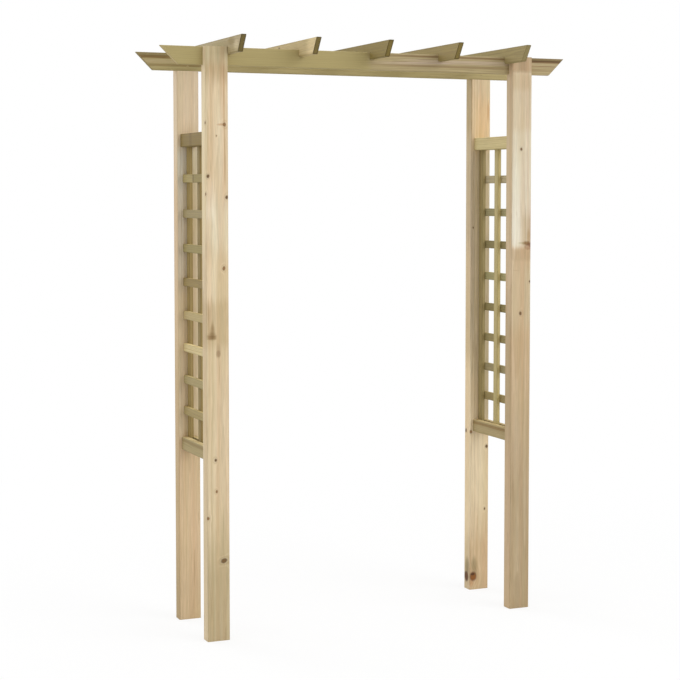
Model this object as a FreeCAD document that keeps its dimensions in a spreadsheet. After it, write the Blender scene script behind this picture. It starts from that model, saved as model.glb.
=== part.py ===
import FreeCAD, Part
import os
import re

import Sketcher
from FreeCAD import Placement, Rotation, Vector

# Garden arch of planed, pressure-treated softwood.
# Four posts stand in two pairs. A beam is let into the inner side of each row of posts, and rafters are
# notched over both beams. A trellis panel fills each side between a front and a back post: two grooved rails
# hold upright slats, and cross slats are pinned to the outer side of these.
# X runs along the beams, Y from front to back and Z up, from the middle of the ground between the posts.

RAFTERS = 5
CROSS_SLATS = 8

# Driving dimensions in millimetres and degrees: name, value, meaning.
SIZES = (
    ("post_width", 78, "post section across the arch"),
    ("post_depth", 45, "post section from front to back"),
    ("post_height", 1970, "post from the ground to its top"),
    ("post_ease", 4, "radius of a post's rounded edges"),
    ("passage_width", 1058, "clear way between the left and right posts"),
    ("panel_width", 267, "clear space between a front and a back post"),
    ("beam_height", 60, "beam section, vertical"),
    ("beam_thickness", 18, "beam section, front to back, and how deep it is let into the posts"),
    ("beam_overhang", 143, "beam tip beyond the posts' outer faces"),
    ("beam_end_cut", 60, "run of the slanted cut at a beam's end"),
    ("beam_ease", 2.5, "radius of a beam's rounded edges"),
    ("rafter_height", 54, "rafter section, vertical"),
    ("rafter_thickness", 18, "rafter section across"),
    ("rafter_overhang", 132, "rafter tip beyond the posts' outer faces"),
    ("rafter_end_cut", 37, "run of the slanted cut at a rafter's end"),
    ("rafter_lap", 24, "depth of the notch that drops a rafter over a beam"),
    ("rafter_arris", 1.5, "flat planed on a rafter's edges"),
    ("lap_clearance", 0.2, "gap on each side of a beam in its notch"),
    ("panel_lift", 600, "ground to the underside of the bottom rail"),
    ("panel_drop", 216, "underside of the beams to the top of the top rail"),
    ("rail_width", 54, "rail section across the arch"),
    ("rail_height", 45, "rail section, vertical"),
    ("rail_ease", 3, "radius of a rail's rounded edges"),
    ("groove_depth", 12, "depth of the groove that holds the upright slats"),
    ("groove_clearance", 0.2, "gap on each side of a slat in the groove"),
    ("slat_width", 28, "face of a slat"),
    ("slat_thickness", 13, "thickness of a slat"),
    ("slat_arris", 1.2, "flat planed on a slat's edges"),
    ("slat_gap_step", 2, "how much each gap between cross slats is smaller than the one above it"),
    ("slat_clearance", 0.5, "gap between a slat's end or edge and what it stops at"),
    ("screw_size", 4.5, "beam screw diameter"),
    ("screw_head", 8.5, "beam screw head diameter"),
    ("screw_length", 40, "beam screw length over the head"),
    ("screw_spread", 15, "beam screw above and below the middle of the beam"),
    ("screw_clearance", 0.1, "gap all round a screw in its hole"),
    ("nail_section", 1.6, "side of a finishing nail's square shank"),
    ("nail_length", 50, "finishing nail length"),
    ("nail_spread", 14, "rail nail to either side of the middle of the rail"),
    ("nail_entry", 20, "where a rail nail enters, from the rail's end"),
    ("nail_slope", 45, "slope of a rail nail from level, in degrees"),
    ("nail_sink", 2, "depth of a rail nail's end below the wood"),
    ("brad_section", 1.6, "side of a brad's square shank"),
    ("brad_length", 22, "brad length"),
    ("pin_clearance", 0.05, "gap all round a nail or brad in its hole"),
    ("spare_depth", 0.5, "spare depth beyond a fastener's end"),
)
NAMES = {name for name, value, meaning in SIZES}

# Places that several pieces share, worked out from the driving dimensions.
POST_X = "(passage_width + post_width) / 2"
INNER_Y = "panel_width / 2"
BEAM_LENGTH = "(passage_width + 2 * post_width + 2 * beam_overhang)"
BEAM_MIDDLE = "(panel_width + beam_thickness) / 2"
BEAM_OUTER = "(panel_width / 2 + beam_thickness)"
RAFTER_LENGTH = "(panel_width + 2 * post_depth + 2 * rafter_overhang)"
RAFTER_TOP = "(post_height + rafter_height - rafter_lap)"
PANEL_TOP = "(post_height - beam_height - panel_drop)"
PANEL_CLEAR = f"({PANEL_TOP} - panel_lift - 2 * rail_height)"
UPRIGHT_FOOT = "(panel_lift + rail_height - groove_depth)"
UPRIGHT_LENGTH = f"({PANEL_CLEAR} + 2 * groove_depth - slat_clearance)"
UPRIGHT_Y = "((panel_width - slat_width) / 2 - slat_clearance)"
UPRIGHTS = (("front", f"-{UPRIGHT_Y}"), ("middle", "0"), ("back", UPRIGHT_Y))
SCREW_HOLE = "screw_size + 2 * screw_clearance"
NAIL_HOLE = "nail_section + 2 * pin_clearance"
BRAD_HOLE = "brad_section + 2 * pin_clearance"

doc = FreeCAD.newDocument("garden_arch")
sheet = doc.addObject("Spreadsheet::Sheet", "sizes")
for row, (name, value, meaning) in enumerate(SIZES, start=1):
    sheet.set(f"A{row}", name)
    sheet.set(f"B{row}", str(value))
    sheet.set(f"C{row}", meaning)
    sheet.setAlias(f"B{row}", name)
doc.recompute()

nodes = []


def linked(text):
    """The expression with every driving dimension written as a cell of the sheet."""
    return re.sub(r"[a-z_]+", lambda m: f"sizes.{m[0]}" if m[0] in NAMES else m[0], text)


def number(text):
    """The value of an expression now."""
    result = sheet.evalExpression(text)
    return float(getattr(result, "Value", result))


def bind(item, **expressions):
    """Ties properties of a document object to the sheet; a double underscore stands for a dot."""
    for path, text in expressions.items():
        item.setExpression(path.replace("__", "."), linked(text))


def place(item, x, y, z, rotation=Rotation()):
    """Puts an object where three expressions say, turned by a fixed rotation."""
    item.Placement = Placement(Vector(), rotation)
    bind(item, Placement__Base__x=x, Placement__Base__y=y, Placement__Base__z=z)


def new_body(label):
    body = doc.addObject("PartDesign::Body", label)
    body.Label = label
    return body


def sketch_on(body, plane, u="0", v="0", out="0", turn=None):
    """A sketch on an origin plane of the body, moved to u, v in the plane and by out along its normal."""
    sketch = body.newObject("Sketcher::SketchObject", f"{body.Name}_sketch")
    support = next(item for item in body.Origin.OriginFeatures if item.Role == plane)
    sketch.AttachmentSupport = [(support, "")]
    sketch.MapMode = "FlatFace"
    bind(sketch, AttachmentOffset__Base__x=u, AttachmentOffset__Base__y=v, AttachmentOffset__Base__z=out)
    if turn is not None:
        sketch.AttachmentOffset = Placement(Vector(), Rotation(Vector(0, 0, 1), number(turn)))
        bind(sketch, AttachmentOffset__Rotation__Angle=turn)
    return sketch


def pin_point(sketch, line, end, u, v):
    """Fixes a point of the sketch at two expressions, measured from the sketch's origin."""
    for kind, text in (("DistanceX", u), ("DistanceY", v)):
        index = sketch.addConstraint(Sketcher.Constraint(kind, -1, 1, line, end, number(text)))
        sketch.setExpression(f"Constraints[{index}]", linked(text))


def outline(sketch, points):
    """A closed outline of straight lines through corners given as pairs of expressions."""
    corners = [Vector(number(u), number(v), 0) for u, v in points]
    lines = [sketch.addGeometry(Part.LineSegment(start, end), False)
             for start, end in zip(corners, corners[1:] + corners[:1])]
    for line, following in zip(lines, lines[1:] + lines[:1]):
        sketch.addConstraint(Sketcher.Constraint("Coincident", line, 2, following, 1))
    for line, (u, v) in zip(lines, points):
        pin_point(sketch, line, 1, u, v)


def rectangle(sketch, left, right, low, high):
    outline(sketch, ((left, low), (right, low), (right, high), (left, high)))


def square(sketch, u, v, side):
    """A square around a point."""
    half = f"({side}) / 2"
    rectangle(sketch, f"{u} - {half}", f"{u} + {half}", f"{v} - {half}", f"{v} + {half}")


def circle(sketch, u, v, diameter):
    """A circle around a point."""
    radius = number(diameter) / 2
    index = sketch.addGeometry(Part.Circle(Vector(number(u), number(v), 0), Vector(0, 0, 1), radius), False)
    pin_point(sketch, index, 3, u, v)
    size = sketch.addConstraint(Sketcher.Constraint("Diameter", index, 2 * radius))
    sketch.setExpression(f"Constraints[{size}]", linked(diameter))


def pad(body, sketch, length, side="One side", turned=False):
    """Timber grown from a sketch."""
    feature = body.newObject("PartDesign::Pad", f"{body.Name}_pad")
    feature.Profile = sketch
    feature.SideType = side
    feature.Reversed = turned
    bind(feature, Length=length)
    doc.recompute()
    return feature


def pocket(body, sketch, depth=None, side="One side", turned=False):
    """A cut as deep as an expression says, or right through."""
    feature = body.newObject("PartDesign::Pocket", f"{body.Name}_pocket")
    feature.Profile = sketch
    feature.SideType = side
    feature.Reversed = turned
    if depth is None:
        feature.Type = "ThroughAll"
    else:
        bind(feature, Length=depth)
    doc.recompute()


def edges_along(solid, axis):
    """The names of a solid's straight edges along an axis."""
    return [f"Edge{index}" for index, edge in enumerate(solid.Shape.Edges, start=1)
            if abs(edge.tangentAt(edge.FirstParameter).dot(axis)) > 0.99]


def round_edges(body, solid, axis, radius):
    """Rounds a timber's long edges; its sawn ends stay square."""
    feature = body.newObject("PartDesign::Fillet", f"{body.Name}_rounding")
    feature.Base = (solid, edges_along(solid, axis))
    bind(feature, Radius=radius)
    doc.recompute()


def plane_edges(body, solid, axis, size):
    """Planes a narrow flat on a thin timber's long edges."""
    feature = body.newObject("PartDesign::Chamfer", f"{body.Name}_arris")
    feature.Base = (solid, edges_along(solid, axis))
    bind(feature, Size=size)
    doc.recompute()


def countersunk(body, sketch, turned=False):
    """Clearance holes right through at the sketch's circles, sunk for a screw's head."""
    doc.recompute()
    feature = body.newObject("PartDesign::Hole", f"{body.Name}_hole")
    feature.Profile = sketch
    doc.recompute()
    feature.Reversed = turned
    feature.DepthType = "ThroughAll"
    feature.HoleCutType = "Countersink"
    feature.HoleCutCountersinkAngle = 90
    bind(feature, Diameter=SCREW_HOLE, HoleCutDiameter="screw_head + 2 * screw_clearance")
    doc.recompute()


def slanted_hole(body, across, along, height, turn, depth):
    """A square hole for a rail nail, down from a point in the direction that turn gives in the YZ plane."""
    side = sketch_on(body, "YZ_Plane", u=along, v=height, out=across, turn=turn)
    half = f"({NAIL_HOLE}) / 2"
    rectangle(side, f"-{half}", half, f"-({depth})", "nail_section")
    pocket(body, side, NAIL_HOLE, side="Symmetric")


def finished(label, item):
    """Names a finished sub-part and lists it for writing."""
    item.Label = label
    nodes.append(item)


ALONG_X = Vector(1, 0, 0)
ALONG_Y = Vector(0, 1, 0)
ALONG_Z = Vector(0, 0, 1)
HALF_TURN = Rotation(ALONG_Z, 180)
FLIP = Rotation(ALONG_Y, 180)


# Posts

def make_post(label, x, y, rotation):
    """A post with a rebate for a beam; its inner face, which the rails meet, lies in the body's XZ plane."""
    body = new_body(label)
    section = sketch_on(body, "XY_Plane")
    rectangle(section, "-post_width / 2", "post_width / 2", "-post_depth", "0")
    round_edges(body, pad(body, section, "post_height"), ALONG_Z, "post_ease")

    rebate = sketch_on(body, "XZ_Plane")
    rectangle(rebate, "-post_width / 2", "post_width / 2", "post_height - beam_height", "post_height")
    pocket(body, rebate, "beam_thickness", turned=True)

    pilots = sketch_on(body, "XZ_Plane", out="beam_thickness")
    for sign in ("+", "-"):
        circle(pilots, "0", f"post_height - beam_height / 2 {sign} screw_spread", SCREW_HOLE)
    pocket(body, pilots, "screw_length - beam_thickness + spare_depth", turned=True)

    drop = "nail_entry * tan(nail_slope)"
    depth = "nail_sink + nail_length + spare_depth - nail_entry / cos(nail_slope)"
    for across in ("-nail_spread", "nail_spread"):
        slanted_hole(body, across, "0", f"{PANEL_TOP} - {drop}", "nail_slope - 90", depth)
        slanted_hole(body, across, "0", f"panel_lift + {drop}", "-nail_slope - 90", depth)
    place(body, x, y, "0", rotation)
    finished(label, body)


for side, sign in (("left", "-"), ("right", "+")):
    make_post(f"post_front_{side}", f"{sign}{POST_X}", f"-{INNER_Y}", Rotation())
    make_post(f"post_back_{side}", f"{sign}{POST_X}", INNER_Y, HALF_TURN)


# Beams

def rafter_x(index):
    """The middle of a rafter: the end ones lie against the posts, the others are evenly spaced."""
    return f"(passage_width - rafter_thickness) * ({index / (RAFTERS - 1) - 0.5})"


def make_beam(label, y, rotation):
    """A beam with slanted ends, its outer face in the body's XZ plane and its top at the origin."""
    body = new_body(label)
    side = sketch_on(body, "XZ_Plane")
    tip = f"{BEAM_LENGTH} / 2"
    heel = f"({tip} - beam_end_cut)"
    outline(side, ((f"-{heel}", "-beam_height"), (heel, "-beam_height"), (tip, "0"), (f"-{tip}", "0")))
    round_edges(body, pad(body, side, "beam_thickness", turned=True), ALONG_X, "beam_ease")

    heads = sketch_on(body, "XZ_Plane", out="-beam_thickness")
    for across in ("-", "+"):
        for up in ("-", "+"):
            circle(heads, f"{across}{POST_X}", f"-beam_height / 2 {up} screw_spread", "screw_size")
    countersunk(body, heads, turned=True)

    pilots = sketch_on(body, "XY_Plane")
    for index in range(RAFTERS):
        square(pilots, rafter_x(index), "beam_thickness / 2", NAIL_HOLE)
    pocket(body, pilots, "nail_length - rafter_height + rafter_lap + spare_depth")
    place(body, "0", y, "post_height", rotation)
    finished(label, body)


make_beam("beam_front", f"-{BEAM_OUTER}", Rotation())
make_beam("beam_back", BEAM_OUTER, HALF_TURN)


# Rafters

def make_rafter(label, x):
    """A rafter with slanted ends and a notch over each beam, its top at the origin."""
    body = new_body(label)
    side = sketch_on(body, "YZ_Plane")
    tip = f"{RAFTER_LENGTH} / 2"
    heel = f"({tip} - rafter_end_cut)"
    outline(side, ((f"-{heel}", "-rafter_height"), (heel, "-rafter_height"), (tip, "0"), (f"-{tip}", "0")))
    plane_edges(body, pad(body, side, "rafter_thickness", side="Symmetric"), ALONG_Y, "rafter_arris")

    notches = sketch_on(body, "YZ_Plane")
    outer = f"({BEAM_OUTER} + lap_clearance)"
    inner = f"({INNER_Y} - lap_clearance)"
    rectangle(notches, f"-{outer}", f"-{inner}", "-rafter_height", "rafter_lap - rafter_height")
    rectangle(notches, inner, outer, "-rafter_height", "rafter_lap - rafter_height")
    pocket(body, notches, side="Symmetric")

    holes = sketch_on(body, "XY_Plane")
    for row in ("-", "+"):
        square(holes, "0", f"{row}{BEAM_MIDDLE}", NAIL_HOLE)
    pocket(body, holes)
    place(body, x, "0", RAFTER_TOP)
    finished(label, body)


for index in range(RAFTERS):
    make_rafter(f"rafter_{index + 1}", rafter_x(index))


# Trellis panels

def slat_height(index):
    """The middle of a cross slat above the ground; the gaps shrink by one step from the top down."""
    mean_gap = f"({PANEL_CLEAR} - {CROSS_SLATS} * slat_width) / {CROSS_SLATS + 1}"
    gaps = f"{index + 1} * ({mean_gap} + slat_gap_step * {(CROSS_SLATS - index) / 2})"
    return f"({PANEL_TOP} - rail_height - {index + 0.5} * slat_width - {gaps})"


def make_rail(label, x, z, rotation):
    """A rail between two posts, its plain face at the origin and its groove below."""
    body = new_body(label)
    section = sketch_on(body, "XZ_Plane")
    rectangle(section, "-rail_width / 2", "rail_width / 2", "-rail_height", "0")
    round_edges(body, pad(body, section, "panel_width", side="Symmetric"), ALONG_Y, "rail_ease")

    groove = sketch_on(body, "XZ_Plane")
    half = "(slat_thickness / 2 + groove_clearance)"
    rectangle(groove, f"-{half}", half, "-rail_height", "groove_depth - rail_height")
    pocket(body, groove, side="Symmetric")

    for across in ("-nail_spread", "nail_spread"):
        slanted_hole(body, across, f"nail_entry - {INNER_Y}", "0", "nail_slope - 90", "nail_length")
        slanted_hole(body, across, f"{INNER_Y} - nail_entry", "0", "90 - nail_slope", "nail_length")
    place(body, x, "0", z, rotation)
    finished(label, body)


def make_upright(label, x, y, rotation):
    """An upright slat that stands in both grooves, with a hole on its outer face for each brad."""
    body = new_body(label)
    section = sketch_on(body, "XY_Plane")
    rectangle(section, "-slat_thickness / 2", "slat_thickness / 2", "-slat_width / 2", "slat_width / 2")
    plane_edges(body, pad(body, section, UPRIGHT_LENGTH), ALONG_Z, "slat_arris")

    holes = sketch_on(body, "YZ_Plane", out="slat_thickness / 2")
    for index in range(CROSS_SLATS):
        square(holes, "0", f"{slat_height(index)} - {UPRIGHT_FOOT}", BRAD_HOLE)
    pocket(body, holes, "brad_length - slat_thickness + spare_depth")
    place(body, x, y, UPRIGHT_FOOT, rotation)
    finished(label, body)


def make_cross_slat(label, x, z, rotation):
    """A cross slat whose inner face lies on the uprights, with a brad hole at each of them."""
    body = new_body(label)
    section = sketch_on(body, "XZ_Plane")
    rectangle(section, "0", "slat_thickness", "-slat_width / 2", "slat_width / 2")
    slat = pad(body, section, "panel_width - 2 * slat_clearance", side="Symmetric")
    plane_edges(body, slat, ALONG_Y, "slat_arris")

    holes = sketch_on(body, "YZ_Plane")
    for name, y in UPRIGHTS:
        square(holes, y, "0", BRAD_HOLE)
    pocket(body, holes, turned=True)
    place(body, x, "0", z, rotation)
    finished(label, body)


PANELS = (("left", "-", HALF_TURN), ("right", "+", Rotation()))
for side, sign, rotation in PANELS:
    middle = f"{sign}{POST_X}"
    make_rail(f"{side}_top_rail", middle, PANEL_TOP, Rotation())
    make_rail(f"{side}_bottom_rail", middle, "panel_lift", FLIP)
    for name, y in UPRIGHTS:
        make_upright(f"{side}_upright_{name}", middle, y, rotation)
    for index in range(CROSS_SLATS):
        outside = f"{middle} {sign} slat_thickness / 2"
        make_cross_slat(f"{side}_cross_slat_{index + 1}", outside, slat_height(index), rotation)


# Fasteners

def make_screw():
    """The form of a countersunk wood screw with a plain shank, head up at the origin."""
    body = new_body("screw_form")
    half = sketch_on(body, "XZ_Plane")
    outline(half, (("0", "0"), ("0", "-screw_length"), ("screw_size / 2", "-screw_length"),
                   ("screw_size / 2", "(screw_size - screw_head) / 2"), ("screw_head / 2", "0")))
    turned = body.newObject("PartDesign::Revolution", "screw_turned")
    turned.Profile = half
    turned.ReferenceAxis = (half, ["V_Axis"])
    turned.Angle = 360
    doc.recompute()
    return body


def make_pin(name):
    """The form of a headless pin with a square shank, its flush end at the origin."""
    body = new_body(f"{name}_form")
    section = sketch_on(body, "XY_Plane")
    square(section, "0", "0", f"{name}_section")
    pad(body, section, f"{name}_length", turned=True)
    return body


def make_group(label, form, places):
    """One node of identical fasteners: links to their form, each at its own place."""
    copies = []
    for x, y, z, rotation in places:
        copy = doc.addObject("App::Link", f"{label}_copy")
        copy.LinkedObject = form
        place(copy, x, y, z, rotation)
        copies.append(copy)
    group = doc.addObject("Part::Compound", label)
    group.Links = copies
    finished(label, group)


# Two screws hold a beam to each post, driven from the beam's inner face.
screws = []
for across in ("-", "+"):
    for up in ("-", "+"):
        height = f"post_height - beam_height / 2 {up} screw_spread"
        for row, turn in (("-", -90), ("+", 90)):
            screws.append((f"{across}{POST_X}", f"{row}{INNER_Y}", height, Rotation(ALONG_X, turn)))
make_group("beam_screws", make_screw(), screws)

# One nail holds a rafter to each beam, driven from above.
nail = make_pin("nail")
make_group("rafter_nails", nail, [(rafter_x(index), f"{row}{BEAM_MIDDLE}", RAFTER_TOP, Rotation())
                                  for index in range(RAFTERS) for row in ("-", "+")])

# Two slanted nails hold each end of a rail, driven through its plain face into the post.
rail_nails = []
tilt = 90 - number("nail_slope")
sink = "nail_sink * sin(nail_slope)"
from_middle = f"({INNER_Y} - nail_entry + nail_sink * cos(nail_slope))"
for side, sign, rotation in PANELS:
    for across in ("-", "+"):
        x = f"{sign}{POST_X} {across} nail_spread"
        for row, turn in (("-", -1), ("+", 1)):
            y = f"{row}{from_middle}"
            rail_nails.append((x, y, f"{PANEL_TOP} - {sink}", Rotation(ALONG_X, turn * tilt)))
            rail_nails.append((x, y, f"panel_lift + {sink}", Rotation(ALONG_X, turn * (180 - tilt))))
make_group("rail_nails", nail, rail_nails)

# One brad holds a cross slat to each upright, flush with the cross slat's outer face.
brad = make_pin("brad")
for side, sign, rotation in PANELS:
    outer_face = f"{sign}{POST_X} {sign} 1.5 * slat_thickness"
    outward = Rotation(ALONG_Y, 90 if sign == "+" else -90)
    make_group(f"{side}_slat_brads", brad, [(outer_face, y, slat_height(index), outward)
                                            for index in range(CROSS_SLATS) for name, y in UPRIGHTS])


# Checks, then one file for each sub-part

doc.recompute()
CUTS = ("PartDesign::Pocket", "PartDesign::Hole")
for item in doc.Objects:
    if {"Invalid", "Error"} & set(item.State):
        raise RuntimeError(f"{item.Label} failed: {item.State}")
    if item.TypeId in CUTS and item.Shape.Volume > item.BaseFeature.Shape.Volume - 1:
        raise RuntimeError(f"{item.Label} cuts nothing")
for node in nodes:
    if node.Shape.isNull() or not node.Shape.isValid() or not node.Shape.Solids:
        raise RuntimeError(f"{node.Label} has no valid solid")

os.makedirs("parts", exist_ok=True)
for node in nodes:
    node.Shape.exportStep(f"parts/{node.Label}.step")
print(len(nodes), "sub-parts,", sum(len(node.Shape.Solids) for node in nodes), "solids")
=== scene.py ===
import math

import bpy
from mathutils import Matrix, Vector


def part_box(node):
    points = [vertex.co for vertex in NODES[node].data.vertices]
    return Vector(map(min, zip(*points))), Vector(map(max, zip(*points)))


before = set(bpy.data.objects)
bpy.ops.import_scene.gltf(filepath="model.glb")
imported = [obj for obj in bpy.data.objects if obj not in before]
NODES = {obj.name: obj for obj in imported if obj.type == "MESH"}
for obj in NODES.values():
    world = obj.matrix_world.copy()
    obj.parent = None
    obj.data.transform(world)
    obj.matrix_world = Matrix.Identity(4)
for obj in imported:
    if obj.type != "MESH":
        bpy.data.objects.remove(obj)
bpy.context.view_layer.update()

# Garden arch of planed, pressure-treated pine: posts, beams, rafters and two trellis panels, in metres.
# The timbers are the frame's own nodes. Each gets a finish of its own, cut from a solid pattern of growth
# rings, knots and treatment stain, so that faces, edges and sawn ends of one timber agree.
# A tone is red, green and blue as seen on a screen, 0 to 255.

ARCH_MIDDLE = (0.0, 0.0, 1.0)


def light(value):
    """One part of a tone as an amount of light."""
    seen = value / 255
    return seen / 12.92 if seen <= 0.04045 else ((seen + 0.055) / 1.055) ** 2.4


def tone(red, green, blue):
    """A tone as a colour in light."""
    return light(red), light(green), light(blue), 1.0


# Node trees

NOISE_MIDDLE = (0.5, 0.5, 0.5)


class Graph:
    """A node tree in the making: each method adds a node or a few and gives back their result."""

    def __init__(self, tree):
        self.tree = tree

    def feed(self, socket, value):
        """Joins a result to a socket, or sets the socket to a plain value."""
        if isinstance(value, bpy.types.NodeSocket):
            self.tree.links.new(value, socket)
        else:
            socket.default_value = value

    def node(self, kind, inputs=None, **settings):
        """One node with its settings and inputs."""
        made = self.tree.nodes.new(kind)
        for name, value in settings.items():
            setattr(made, name, value)
        for socket, value in (inputs or {}).items():
            self.feed(made.inputs[socket], value)
        return made

    def place(self, group, inputs):
        """A node group with its own values; gives back its outputs."""
        return self.node("ShaderNodeGroup", inputs, node_tree=group).outputs

    def math(self, operation, *values):
        """One step of arithmetic on plain numbers."""
        return self.node("ShaderNodeMath", dict(enumerate(values)), operation=operation).outputs[0]

    def times(self, first, second):
        """The product of two plain numbers."""
        return self.math("MULTIPLY", first, second)

    def vector(self, operation, *values):
        """One step of arithmetic on vectors."""
        made = self.node("ShaderNodeVectorMath", dict(enumerate(values)), operation=operation)
        return made.outputs["Value" if operation in ("LENGTH", "DOT_PRODUCT") else "Vector"]

    def spread(self, vector, factor):
        """A vector times a plain number that may be a result."""
        return self.node("ShaderNodeVectorMath", {0: vector, "Scale": factor}, operation="SCALE").outputs[0]

    def parts(self, vector):
        """The three parts of a vector."""
        return self.node("ShaderNodeSeparateXYZ", {0: vector}).outputs

    def normal(self):
        """The way a surface looks."""
        return self.node("ShaderNodeNewGeometry").outputs["Normal"]

    def noise(self, place, scale, detail=2.0):
        """Soft noise with so many features in a metre along each axis: its value and its colour."""
        scaled = self.vector("MULTIPLY", place, scale)
        made = self.node("ShaderNodeTexNoise", {"Vector": scaled, "Scale": 1.0, "Detail": detail})
        return made.outputs["Fac"], made.outputs["Color"]

    def fibres(self, grain, along, across, detail=2.0):
        """Noise with features in a metre along the grain and across it."""
        return self.noise(grain, (along, across, across), detail)[0]

    def sway(self, grain, along, across, detail=2.0):
        """The same noise as a vector that goes to all sides of nought."""
        return self.vector("SUBTRACT", self.noise(grain, (along, across, across), detail)[1], NOISE_MIDDLE)

    def fade(self, value, low, high, first=0.0, last=1.0):
        """A smooth step from first, at low, to last, at high."""
        inputs = {"Value": value, "From Min": low, "From Max": high, "To Min": first, "To Max": last}
        return self.node("ShaderNodeMapRange", inputs, interpolation_type="SMOOTHSTEP").outputs[0]

    def mix(self, amount, under, over, blend="MIX"):
        """Two colours laid over each other."""
        inputs = {0: amount, 6: under, 7: over}
        return self.node("ShaderNodeMix", inputs, data_type="RGBA", blend_type=blend).outputs[2]

    def tinted(self, under, tint):
        """A colour seen through another."""
        return self.mix(1.0, under, tint, "MULTIPLY")

    def grey(self, value):
        """A grey of a given value."""
        return self.node("ShaderNodeCombineColor", {"Red": value, "Green": value, "Blue": value}).outputs[0]


VECTORS = ("Grain", "Place", "Branch", "Middle", "Half", "Reach", "Facing", "Axis")
COLOURS = ("Colour", "Early", "Late", "Band", "Heart", "Stain", "Tint", "Tone", "End", "Rim")
SURFACE = ("Colour", "Roughness", "Height")


def socket_kind(label):
    """What a group's socket carries: a vector, a colour or a plain number."""
    if label in VECTORS:
        return "NodeSocketVector"
    return "NodeSocketColor" if label in COLOURS else "NodeSocketFloat"


def new_group(name, inputs, outputs):
    """An empty node group: its graph, the results that come in, and the sockets that go out."""
    tree = bpy.data.node_groups.new(name, "ShaderNodeTree")
    for way, labels in (("INPUT", inputs), ("OUTPUT", outputs)):
        for label in labels:
            tree.interface.new_socket(label, in_out=way, socket_type=socket_kind(label))
    given = tree.nodes.new("NodeGroupInput").outputs
    result = tree.nodes.new("NodeGroupOutput").inputs
    return Graph(tree), given, result


# Shared effects of the wood

FAR_OFF = 50.0                        # a distance to a knot, in knot radii, at which nothing shows
KNOT_RAGGED = (0.004, 0.004, 0.004)   # how far a knot's outline strays
KNOT_STRETCH = (0.72, 1.0, 1.0)
BRANCH_RADIUS = 0.06                  # the distance from the pith at which branches keep their spacing
FINE_SWAY = 0.0016                    # how far the fibres stray
RING_PUSH = 0.011                     # how far a knot pushes the rings aside
EULER_NUMBER = 2.718
# At the arrises this darkening is partly stain and partly painted shade; at sawn ends it is the stain's
# rim.
STAIN_AND_SHADE_DEPTHS = (0.002, 0.0065)       # the stain is darkest to the first depth and ends at the second
ARRIS_SHADE = (0.5, 0.51, 0.38, 1.0)
SAW_LINES = (500.0, 60.0, 700.0)      # features in a metre, along the grain and across it


def depths(g, given):
    """How deep a point lies below a timber's faces, half its size less the distance from its middle."""
    away = g.vector("ABSOLUTE", g.vector("SUBTRACT", given["Grain"], given["Middle"]))
    return g.parts(g.vector("SUBTRACT", given["Half"], away))


def knot_group():
    """Distance to one knot, in knot radii, or to a nearer one already found.

    A knot is a round branch whose axis goes through Place along Branch; it shows as a round or long oval
    wherever a face cuts it. Distances along the grain count less, so knots lie a little stretched."""
    g, given, result = new_group("knot", ("Grain", "Nearest", "Place", "Branch", "Radius"), ("Nearest",))
    ragged = g.vector("MULTIPLY", g.sway(given["Grain"], 110.0, 110.0), KNOT_RAGGED)
    away = g.vector("ADD", g.vector("SUBTRACT", given["Grain"], given["Place"]), ragged)
    along = g.spread(given["Branch"], g.vector("DOT_PRODUCT", away, given["Branch"]))
    across = g.vector("MULTIPLY", g.vector("SUBTRACT", away, along), KNOT_STRETCH)
    radii = g.math("DIVIDE", g.vector("LENGTH", across), given["Radius"])
    g.feed(result["Nearest"], g.math("MINIMUM", given["Nearest"], radii))
    return g.tree


def scattered_knots_group():
    """Distance, in knot radii, to the nearest of many knots that branch from the pith at random.

    Around the pith, length and angle are a plane; a cell pattern on it gives each branch its place. Most
    cells are empty, and each knot has its own size."""
    g, given, result = new_group("scattered_knots", ("Grain", "Spacing", "Radius", "Share"), ("Nearest",))
    part = g.parts(given["Grain"])
    angle = g.math("ARCTAN2", part["Z"], part["Y"])
    length = g.math("DIVIDE", part["X"], given["Spacing"])
    turn = g.times(angle, g.math("DIVIDE", BRANCH_RADIUS, given["Spacing"]))
    plane = g.node("ShaderNodeCombineXYZ", {"X": length, "Y": turn}).outputs[0]
    cells = g.node("ShaderNodeTexVoronoi", {"Vector": plane, "Scale": 1.0}, voronoi_dimensions="2D").outputs
    chance = g.node("ShaderNodeSeparateColor", {0: cells["Color"]}).outputs
    size = g.times(given["Radius"], g.fade(chance["Green"], 0.0, 1.0, 0.45, 1.2))
    radii = g.math("DIVIDE", g.times(cells["Distance"], given["Spacing"]), size)
    empty = g.math("GREATER_THAN", chance["Red"], given["Share"])
    g.feed(result["Nearest"], g.math("ADD", radii, g.times(empty, FAR_OFF)))
    return g.tree


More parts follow.
